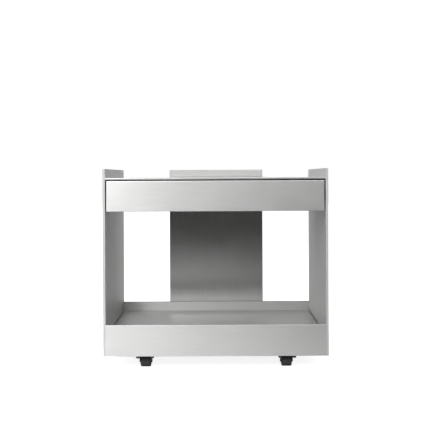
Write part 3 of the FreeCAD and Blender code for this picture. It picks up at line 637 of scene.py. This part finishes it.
def solids_of(name):
    """Points of each separate solid in a CAD node."""
    shape = bmesh.new()
    shape.from_mesh(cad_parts[name].data)
    bmesh.ops.remove_doubles(shape, verts=shape.verts, dist=WELD)
    solids = []
    for seed in shape.verts:
        if seed.tag:
            continue
        seed.tag = True
        group = [seed]
        for vert in group:
            for edge in vert.link_edges:
                other = edge.other_vert(vert)
                if not other.tag:
                    other.tag = True
                    group.append(other)
        solids.append([vert.co.copy() for vert in group])
    shape.free()
    return solids


def corners(points):
    """Lowest and highest corner of a set of points."""
    low = Vector([min(point[axis] for point in points) for axis in range(3)])
    high = Vector([max(point[axis] for point in points) for axis in range(3)])
    return low, high


def stood(place, outward):
    """Matrix that puts a piece's top on a place, facing outward."""
    return Matrix.Translation(place) @ outward.to_track_quat("Z", "Y").to_matrix().to_4x4()


def mesh_of(name, shape):
    """Mesh of a shape, welded and turned outwards, smooth but for its sharper edges."""
    bmesh.ops.remove_doubles(shape, verts=shape.verts, dist=WELD)
    bmesh.ops.recalc_face_normals(shape, faces=shape.faces)
    mesh = bpy.data.meshes.new(name)
    shape.to_mesh(mesh)
    shape.free()
    mesh.shade_smooth()
    mesh.set_sharp_from_angle(angle=SMOOTH_ANGLE)
    return mesh


def piece(name, mesh, material, body, slot, *nodes):
    """Finished piece on a body, in place of CAD nodes."""
    mesh.materials.append(material)
    made = add_object(name, mesh)
    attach(made, body)
    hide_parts(*nodes)


def patterned(name, template, places):
    """Copies of a mesh at several places, as one mesh, in its stead."""
    shape = bmesh.new()
    for matrix in places:
        count = len(shape.verts)
        shape.from_mesh(template)
        shape.verts.ensure_lookup_table()
        bmesh.ops.transform(shape, matrix=matrix, verts=shape.verts[count:])
    bpy.data.meshes.remove(template)
    return mesh_of(name, shape)


def ring(shape, radius, level, capped=False):
    """Vertices of a level circle about Z."""
    lift = Matrix.Translation((0, 0, level))
    return bmesh.ops.create_circle(
        shape, segments=ROD_STEPS, radius=radius, cap_ends=capped, matrix=lift)["verts"]


def cross_ring(shape, reach, level, capped=False):
    """Vertices of a level cross about Z."""
    verts = ring(shape, reach, level, capped)
    arm = reach * math.sin(2 * math.pi / ROD_STEPS)
    for vert in verts:
        x, y = vert.co.xy
        if min(abs(x), abs(y)) > arm + WELD:
            vert.co.x = math.copysign(arm, x) if abs(x) < abs(y) + WELD else x
            vert.co.y = math.copysign(arm, y) if abs(y) < abs(x) + WELD else y
    return verts


def hexagon_ring(shape, flats, level):
    """Vertices of a level hexagon about Z."""
    verts = ring(shape, flats / 2, level)
    for vert in verts:
        turn = math.atan2(vert.co.y, vert.co.x) % (math.pi / 3) - math.pi / 6
        vert.co.xy /= math.cos(turn)
    return verts


def skin(shape, rings):
    """Faces between each ring and the next."""
    loops = [list(dict.fromkeys(edge for vert in verts for edge in vert.link_edges)) for verts in rings]
    for first, second in zip(loops, loops[1:]):
        bmesh.ops.bridge_loops(shape, edges=first + second)


def thread_rings(shape, radius, start, end):
    """Rings of a thread that runs down from start to end, where it is chamfered and closed."""
    fastener = settings("fastener")
    turns = max(1, int((start - end - fastener.chamfer) / fastener.pitch))
    rings = []
    for step in range(turns):
        crest = start - fastener.pitch * step
        rings.append(ring(shape, radius, crest))
        rings.append(ring(shape, radius - fastener.thread, crest - fastener.pitch / 2))
    rings.append(ring(shape, radius, end + fastener.chamfer))
    rings.append(ring(shape, radius - fastener.chamfer, end, capped=True))
    return rings


def screw_mesh(head, shank, length):
    """Pan-head screw with a cross recess, its top at the origin and its shank down."""
    fastener = settings("fastener")
    height = fastener.pan_head
    shape = bmesh.new()
    rings = [cross_ring(shape, fastener.recess_reach * RECESS_TAPER, -fastener.recess, capped=True)]
    rings.append(cross_ring(shape, fastener.recess_reach, 0))
    for share, drop in PAN_PROFILE:
        rings.append(ring(shape, head * share, -height * drop))
    skin(shape, rings + thread_rings(shape, shank, -height, -length))
    return mesh_of("screw", shape)


def bolt_mesh(rod, flats, head_height, length, nut_height, nut_play, flange=0, flange_height=0):
    """Hexagon bolt with its nut, its head's top at the origin and its shank down."""
    fastener = settings("fastener")
    radius = rod / 2
    chamfer = fastener.chamfer
    face = flats / 2 - chamfer / 2
    nut_low = nut_play - length
    nut_high = nut_low + nut_height
    shape = bmesh.new()
    bolt = [ring(shape, face, 0, capped=True), hexagon_ring(shape, flats, -chamfer)]
    bolt += [hexagon_ring(shape, flats, -head_height), ring(shape, radius, -head_height)]
    skin(shape, bolt + thread_rings(shape, radius, nut_high, -length))
    bore = radius + fastener.bore_play
    nut = [ring(shape, bore, nut_high)]
    if flange:
        rim = nut_high - flange_height
        nut += [ring(shape, flange / 2, nut_high), ring(shape, flange / 2, rim + chamfer)]
        nut += [ring(shape, flange / 2 - chamfer, rim), hexagon_ring(shape, flats, rim - chamfer)]
    else:
        nut += [ring(shape, face, nut_high), hexagon_ring(shape, flats, nut_high - chamfer)]
    nut += [hexagon_ring(shape, flats, nut_low + chamfer), ring(shape, face, nut_low)]
    nut.append(ring(shape, bore, nut_low))
    skin(shape, nut + nut[:1])
    return mesh_of("bolt", shape)


def screw_fit(points):
    """Where a plain screw's head lies and faces, and its head's radius, its shank's radius and its length."""
    low, high = corners(points)
    size = high - low
    axis = max(range(3), key=lambda index: abs(size[index] - sorted(size)[1]))
    middle = (low + high) / 2
    reach = {}
    for end in (low[axis], high[axis]):
        flat = [point - middle for point in points if abs(point[axis] - end) < WELD]
        reach[end] = max(math.hypot(*(point[other] for other in range(3) if other != axis)) for point in flat)
    top = max(reach, key=reach.get)
    outward = Vector((0, 0, 0))
    outward[axis] = math.copysign(1, top - middle[axis])
    middle[axis] = top
    return stood(middle, outward), (max(reach.values()), min(reach.values()), size[axis])


def screw_set(name, node, body):
    """Detailed screws in place of a node's plain ones, which are all of one size."""
    places, sizes = zip(*(screw_fit(points) for points in solids_of(node)))
    made = patterned(name, screw_mesh(*sizes[-1]), places)
    piece(name, made, fastener_zinc(), body, "fastener_steel", node)


def tyre_mesh(name, low, high):
    """Tyre turned about the axle, with round shoulders, stepped sides and a mould line."""
    castor = settings("castor")
    middle = (low + high) / 2
    half = (high.x - low.x) / 2
    tread = (high.z - low.z) / 2
    line = castor.mould_line
    foot = MOULD_FOOT * line
    face = tread - line
    rim = tread - castor.tyre_depth
    lip = rim - castor.rim_lip
    step = castor.side_step
    side = [(half - castor.rim_inset, rim), (half - castor.rim_inset, lip), (half - step, lip)]
    side += [(half - step, rim + castor.rim_lip), (half, rim + castor.rim_lip + step), (half, face)]
    profile = [(-across, radius) for across, radius in side]
    profile += [(-foot, face), (-line, tread), (line, tread), (foot, face)] + side[::-1]
    shape = bmesh.new()
    verts = [shape.verts.new((middle.x + across, middle.y, middle.z + radius)) for across, radius in profile]
    edges = [shape.edges.new(pair) for pair in zip(verts, verts[1:] + verts[:1])]
    bmesh.ops.spin(shape, geom=verts + edges, cent=middle, axis=(1, 0, 0), angle=2 * math.pi,
                   steps=TYRE_STEPS, use_merge=True)
    bmesh.ops.remove_doubles(shape, verts=shape.verts, dist=WELD)
    shoulders = []
    for edge in shape.edges:
        spots = [vert.co - middle for vert in edge.verts]
        if all(abs(abs(spot.x) - half) < WELD and abs(spot.yz.length - face) < WELD for spot in spots):
            shoulders.append(edge)
    bmesh.ops.bevel(shape, geom=shoulders, offset=castor.shoulder, offset_type="OFFSET", affect="EDGES",
                    segments=SHOULDER_STEPS, profile=0.5, material=-1)
    return mesh_of(name, shape)


class TROLLEY_OT_carcass(Operator):
    """Brush the side panels and the back panel upright"""
    bl_idname = "trolley.carcass"
    bl_label = "Carcass"

    def execute(self, context):
        sheet = settings("sheet")
        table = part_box("table_top")[1].z
        back = brushed_steel("brushed_back", "Z", sheet.back_roughness, BACK_PULL, wiped_from=table)
        side = brushed_steel("brushed_side", "Z", sheet.side_roughness, SIDE_PULL, sheet.side_painted_light)
        liner = brushed_steel("brushed_liner", "Z", sheet.liner_roughness, LINER_PULL)
        coat(back, "back_panel", "back_liner")
        coat(side, "side_panel_left", "side_panel_right")
        coat(liner, "side_liner_left", "side_liner_right")
        return {"FINISHED"}


class TROLLEY_OT_table(Operator):
    """Brush the table top across and finish what carries it"""
    bl_idname = "trolley.table"
    bl_label = "Table top"

    def execute(self, context):
        sheet = settings("sheet")
        coat(brushed_steel("brushed_table", "X", sheet.roughness, PULL, sheet.table_painted_shade), "table_top")
        coat(mill_steel(), "table_stiffeners", "top_angle_left", "top_angle_right")
        return {"FINISHED"}


class TROLLEY_OT_tray(Operator):
    """Brush the tray across and finish its rails, rib and brackets"""
    bl_idname = "trolley.tray"
    bl_label = "Tray"

    def execute(self, context):
        sheet = settings("sheet")
        # The fascias get painted shade on their fold faces that look up
        fascia = brushed_steel("brushed_fascia", "X", sheet.roughness, FASCIA_PULL, folds=sheet.fold_painted_shade)
        floor = brushed_steel("brushed_tray", "X", sheet.tray_roughness, PULL, sheet.tray_painted_shade)
        coat(fascia, "front_fascia", "rear_fascia")
        coat(floor, "tray_floor")
        coat(mill_steel(), "tray_rib", "tray_brackets", "castor_rail_left", "castor_rail_right")
        return {"FINISHED"}


class TROLLEY_OT_drawer(Operator):
    """Brush the drawer front across and finish the box and its runners"""
    bl_idname = "trolley.drawer"
    bl_label = "Drawer"

    def execute(self, context):
        sheet = settings("sheet")
        inner = settings("inner")
        front = brushed_steel("brushed_drawer", "X", sheet.roughness, PULL)
        coat(front, "drawer_front", "drawer_front_liner")
        coat(mill_steel(), "drawer_box", "drawer_sides")
        members = [f"runner_{part}_{side}" for part in ("cabinet", "middle", "drawer") for side in SIDES]
        coat(bright_zinc(), *members, "runner_outer_cages", "runner_inner_cages")
        coat(moulded("buffer_rubber", inner.buffer, inner.buffer_roughness, BUFFER_PORES), "runner_buffers")
        return {"FINISHED"}


class TROLLEY_OT_castors(Operator):
    """Finish the castors and make their tyres and axles"""
    bl_idname = "trolley.castors"
    bl_label = "Castors"

    def execute(self, context):
        castor = settings("castor")
        fastener = settings("fastener")
        rubber = moulded("tyre_rubber", castor.tyre, castor.tyre_roughness, TYRE_PORES)
        wheel = shade(castor.tyre, castor.wheel_tone)
        nylon = moulded("wheel_nylon", wheel, castor.wheel_roughness, WHEEL_PORES)
        for place in PLACES:
            coat(castor_paint(), f"castor_plate_{place}", f"castor_fork_{place}")
            coat(bright_zinc(), f"castor_race_{place}")
            coat(nylon, f"castor_wheel_{place}")
            node = f"castor_tyre_{place}"
            tyre = tyre_mesh(f"tyre_{place}", *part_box(node))
            piece(f"tyre_{place}", tyre, rubber, f"wheel_{place}", "tyre_rubber", node)
            node = f"castor_axle_{place}"
            low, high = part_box(node)
            head = (low + high) / 2
            head.x = low.x
            bolt = bolt_mesh(fastener.axle_rod, fastener.axle_flats, fastener.axle_head, high.x - low.x,
                             fastener.axle_nut, 0)
            axle = patterned(f"axle_{place}", bolt, [stood(head, Vector((-1, 0, 0)))])
            piece(f"axle_{place}", axle, castor_black(), f"castor_{place}", "castor_steel", node)
        return {"FINISHED"}


class TROLLEY_OT_fasteners(Operator):
    """Make the screws and the castor bolts, and blacken the kingpins"""
    bl_idname = "trolley.fasteners"
    bl_label = "Fasteners"

    def execute(self, context):
        fastener = settings("fastener")
        coat(castor_black(), "castor_kingpins")
        screw_set("frame_screw_set", "frame_screws", "frame")
        screw_set("runner_screw_set", "runner_screws", "frame")
        screw_set("drawer_screw_set", "drawer_screws", "drawer")
        low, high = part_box("castor_bolts")
        bolt = bolt_mesh(fastener.bolt_rod, fastener.bolt_flats, fastener.bolt_head, high.z - low.z,
                         fastener.bolt_nut, fastener.bolt_play, fastener.nut_flange, fastener.flange_height)
        places = []
        for points in solids_of("castor_bolts"):
            bottom, top = corners(points)
            is_bolt = top.z - bottom.z > fastener.bolt_nut + fastener.bolt_play
            if is_bolt:
                middle = (bottom + top) / 2
                middle.z = top.z
                places.append(stood(middle, Vector((0, 0, 1))))
        bolts = patterned("castor_bolt_set", bolt, places)
        piece("castor_bolt_set", bolts, castor_black(), "frame", "castor_steel", "castor_bolts")
        return {"FINISHED"}


def seen_by_camera(tree):
    """1 for rays from the camera, from mirrors and through glass, else 0."""
    path = add_node(tree, "ShaderNodeLightPath")
    mirrored = reckoned(tree, "MAXIMUM", path.outputs["Is Camera Ray"], path.outputs["Is Glossy Ray"])
    return reckoned(tree, "MAXIMUM", mirrored, path.outputs["Is Transmission Ray"])


def white_world(sky):
    """White background, with less light from it on matt surfaces."""
    world = bpy.data.worlds.new("studio")
    world.use_nodes = True
    bpy.context.scene.world = world
    tree = world.node_tree
    background = tree.nodes["Background"]
    background.inputs["Color"].default_value = (1, 1, 1, 1)
    tree.links.new(ranged(tree, seen_by_camera(tree), sky, 1.0), background.inputs["Strength"])


def matt(shader, roughness):
    """Takes the shine off a shader."""
    shader.inputs["Roughness"].default_value = roughness
    shader.inputs["Specular IOR Level"].default_value = 0.0


def floor_material(lift):
    """Pale floor that reads as white where nothing shades it, and is clear from below."""
    material, tree, shader = new_material("pale_floor")
    place = add_node(tree, "ShaderNodeTexCoord")
    grain = add_node(tree, "ShaderNodeTexNoise", in_Scale=FLOOR_PATCHES, in_Detail=3.0)
    tree.links.new(place.outputs["Object"], grain.inputs["Vector"])
    low, high = ((grey, grey, grey) for grey in FLOOR_GREYS)
    tree.links.new(mixed_colour(tree, low, high, grain.outputs["Fac"]), shader.inputs["Base Color"])
    matt(shader, FLOOR_ROUGHNESS)
    glow = add_node(tree, "ShaderNodeEmission")
    tree.links.new(ranged(tree, seen_by_camera(tree), 0.0, lift), glow.inputs["Strength"])
    both = add_node(tree, "ShaderNodeAddShader")
    tree.links.new(shader.outputs[0], both.inputs[0])
    tree.links.new(glow.outputs[0], both.inputs[1])
    under = add_node(tree, "ShaderNodeNewGeometry")
    clear = add_node(tree, "ShaderNodeBsdfTransparent")
    faces = add_node(tree, "ShaderNodeMixShader")
    tree.links.new(under.outputs["Backfacing"], faces.inputs[0])
    tree.links.new(both.outputs[0], faces.inputs[1])
    tree.links.new(clear.outputs[0], faces.inputs[2])
    tree.links.new(faces.outputs[0], tree.nodes["Material Output"].inputs["Surface"])
    return material


def curtain_material(stage):
    """Matt felt with a painted pool of light round the clear floor that fades to black, and of another grey
    behind the trolley.
    """
    material, tree, shader = new_material("curtain_felt")
    place = add_node(tree, "ShaderNodeTexCoord")
    parts = add_node(tree, "ShaderNodeSeparateXYZ")
    tree.links.new(place.outputs["Object"], parts.inputs[0])
    away = add_node(tree, "ShaderNodeVectorMath", operation="DISTANCE", in_1=(*stage.clearing, GROUND_CLOTH))
    tree.links.new(place.outputs["Object"], away.inputs[0])
    # Painted pool of light: the cloth's grey fades from the clear floor's edge to black
    painted_light_pool = ramp(tree, away.outputs["Value"], stage.clear_floor, stage.painted_pool_reach, stage.cloth, 0.0,
                curve="SMOOTHSTEP")
    felt = add_node(tree, "ShaderNodeMix", data_type="RGBA")
    felt.inputs["B"].default_value = (stage.curtain_rear, stage.curtain_rear, stage.curtain_rear, 1)
    tree.links.new(ramp(tree, parts.outputs["Y"], *CURTAIN_TURN), felt.inputs["Factor"])
    tree.links.new(painted_light_pool, felt.inputs["A"])
    tree.links.new(felt.outputs["Result"], shader.inputs["Base Color"])
    matt(shader, 1.0)
    return material


def stage_piece(name, shape, material):
    """Object of a shape that belongs to the stage."""
    mesh = bpy.data.meshes.new(name)
    shape.to_mesh(mesh)
    shape.free()
    mesh.materials.append(material)
    made = add_object(name, mesh)
    return made


def stage_floor(stage):
    """Square floor under the trolley."""
    shape = bmesh.new()
    bmesh.ops.create_grid(shape, x_segments=1, y_segments=1, size=FLOOR_SIDE / 2,
                          matrix=Matrix.Translation((0, 0, CAD_LOW.z)))
    stage_piece("floor", shape, floor_material(stage.glow))


def stage_curtain(stage):
    """Round curtain, higher at the rear and right, with a ground cloth, that only mirrors see."""
    shape = bmesh.new()
    loops = []
    for radius, level in ((stage.clear_floor, 0), (CURTAIN_RADIUS, 0), (CURTAIN_RADIUS, CURTAIN_HEIGHT)):
        circle = bmesh.ops.create_circle(shape, segments=CURTAIN_STEPS, radius=radius)["verts"]
        bmesh.ops.translate(shape, vec=(*stage.clearing, GROUND_CLOTH + level), verts=circle)
        loops.append([edge for edge in shape.edges if all(vert in circle for vert in edge.verts)])
    slope = Matrix.Rotation(-RIGHT_RISE, 3, "Y") @ Matrix.Rotation(REAR_RISE, 3, "X")
    bmesh.ops.rotate(shape, verts=circle, cent=(*stage.clearing, CURTAIN_HEIGHT), matrix=slope)
    for inner, outer in zip(loops, loops[1:]):
        bmesh.ops.bridge_loops(shape, edges=inner + outer)
    curtain = stage_piece("curtain", shape, curtain_material(stage))
    curtain.visible_camera = False
    curtain.visible_diffuse = False
    curtain.visible_shadow = False


def area_lamp(name, place, target, size, power):
    """Soft rectangular lamp that looks at a point."""
    lamp = bpy.data.lights.new(name, "AREA")
    lamp.shape = "RECTANGLE"
    lamp.size, lamp.size_y = size
    lamp.energy = power
    lamp_object = add_object(name, lamp)
    lamp_object.location = place
    lamp_object.rotation_euler = (target - Vector(place)).to_track_quat("-Z", "Y").to_euler()
    lamp_object.visible_camera = False


def stage_camera(stage):
    """Level camera in front of the trolley, a little rolled, with its frame shifted."""
    camera = bpy.data.cameras.new("camera")
    camera.lens = stage.lens
    camera.shift_x = stage.shift_x
    camera.shift_y = stage.shift_y
    camera_object = add_object("camera", camera)
    camera_object.location = (
        stage.camera_side, CAD_LOW.y - stage.camera_distance, CAD_HIGH.z - stage.camera_drop)
    level = Euler((math.pi / 2, 0, 0)).to_matrix()
    roll = Matrix.Rotation(stage.camera_roll, 3, "Z")
    camera_object.rotation_euler = (level @ roll).to_euler()
    bpy.context.scene.camera = camera_object


class TROLLEY_OT_stage(Operator):
    """Set up the floor, light, background and camera"""
    bl_idname = "trolley.stage"
    bl_label = "Stage"

    def execute(self, context):
        stage = settings("stage")
        scene = context.scene
        scene.view_settings.view_transform = "Standard"
        middle = (CAD_LOW + CAD_HIGH) / 2
        white_world(stage.sky)
        stage_floor(stage)
        stage_curtain(stage)
        area_lamp("key_lamp", stage.key_place, middle, stage.key_size, stage.key)
        area_lamp("fill_lamp", stage.fill_place, middle, stage.fill_size, stage.fill)
        stage_camera(stage)
        return {"FINISHED"}


OPERATORS = (
    TROLLEY_OT_carcass,
    TROLLEY_OT_table,
    TROLLEY_OT_tray,
    TROLLEY_OT_drawer,
    TROLLEY_OT_castors,
    TROLLEY_OT_fasteners,
    TROLLEY_OT_stage,
)


class TROLLEY_PT_panel(Panel):
    """Lists the trolley's pieces and settings"""
    bl_idname = "TROLLEY_PT_panel"
    bl_label = "Serving trolley"
    bl_space_type = "VIEW_3D"
    bl_region_type = "UI"
    bl_category = "Trolley"

    def draw(self, context):
        for operator in OPERATORS:
            self.layout.operator(operator.bl_idname)
        for title in GROUPS:
            group = getattr(context.scene, title)
            for name in group.bl_rna.properties.keys():
                if name not in ("rna_type", "name"):
                    self.layout.prop(group, name)


def register():
    """Registers the settings, operators and panel."""
    for name, group in GROUPS.items():
        bpy.utils.register_class(group)
        setattr(bpy.types.Scene, name, PointerProperty(type=group))
    for kind in (*OPERATORS, TROLLEY_PT_panel):
        bpy.utils.register_class(kind)


def unregister():
    """Removes what register added."""
    for kind in reversed((*OPERATORS, TROLLEY_PT_panel)):
        bpy.utils.unregister_class(kind)
    for name, group in reversed(GROUPS.items()):
        delattr(bpy.types.Scene, name)
        bpy.utils.unregister_class(group)


def main():
    """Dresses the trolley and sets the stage."""
    register()
    bpy.ops.trolley.carcass()
    bpy.ops.trolley.table()
    bpy.ops.trolley.tray()
    bpy.ops.trolley.drawer()
    bpy.ops.trolley.castors()
    bpy.ops.trolley.fasteners()
    bpy.ops.trolley.stage()


if __name__ == "__main__":
    main()
